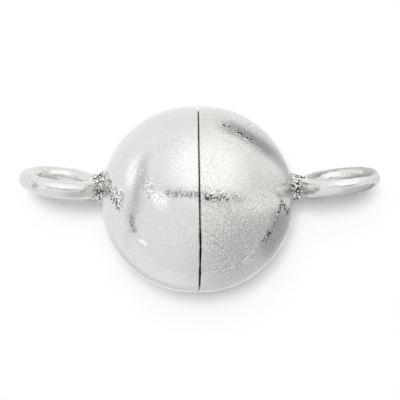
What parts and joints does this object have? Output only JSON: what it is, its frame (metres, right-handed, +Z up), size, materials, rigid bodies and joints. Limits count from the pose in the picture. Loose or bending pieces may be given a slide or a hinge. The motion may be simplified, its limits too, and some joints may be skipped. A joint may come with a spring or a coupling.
{
  "type": "magnetic ball clasp",
  "caption": "Magnetic jewellery clasp: a silver ball of two halves, a disc magnet in each half and a ring of round wire soldered to each end.",
  "frame": {"origin": "lowest point of the ball, below its middle, where the closed clasp lies on a surface", "axes": "+X along the clasp from the left ring to the right ring, +Z up, both rings upright and leaning towards +Y at their outer ends"},
  "size_m": [0.0154, 0.008, 0.008],
  "materials": {
    "satin_silver": "satin silver, lightly scratched",
    "brushed_silver": "fine grained silver, lightly scratched",
    "nickel": "bright nickel plate"
  },
  "bodies": {
    "left": {"left_half": "satin_silver", "left_magnet": "nickel"},
    "right": {"right_half": "brushed_silver", "right_magnet": "nickel"}
  },
  "joints": [
    {"name": "pull_apart", "type": "slide", "parent": "left", "child": "right", "axis": [1, 0, 0], "range_m": [0, 0.008], "stiffness_N_per_m": 1, "springref_m": -0.012}
  ]
}
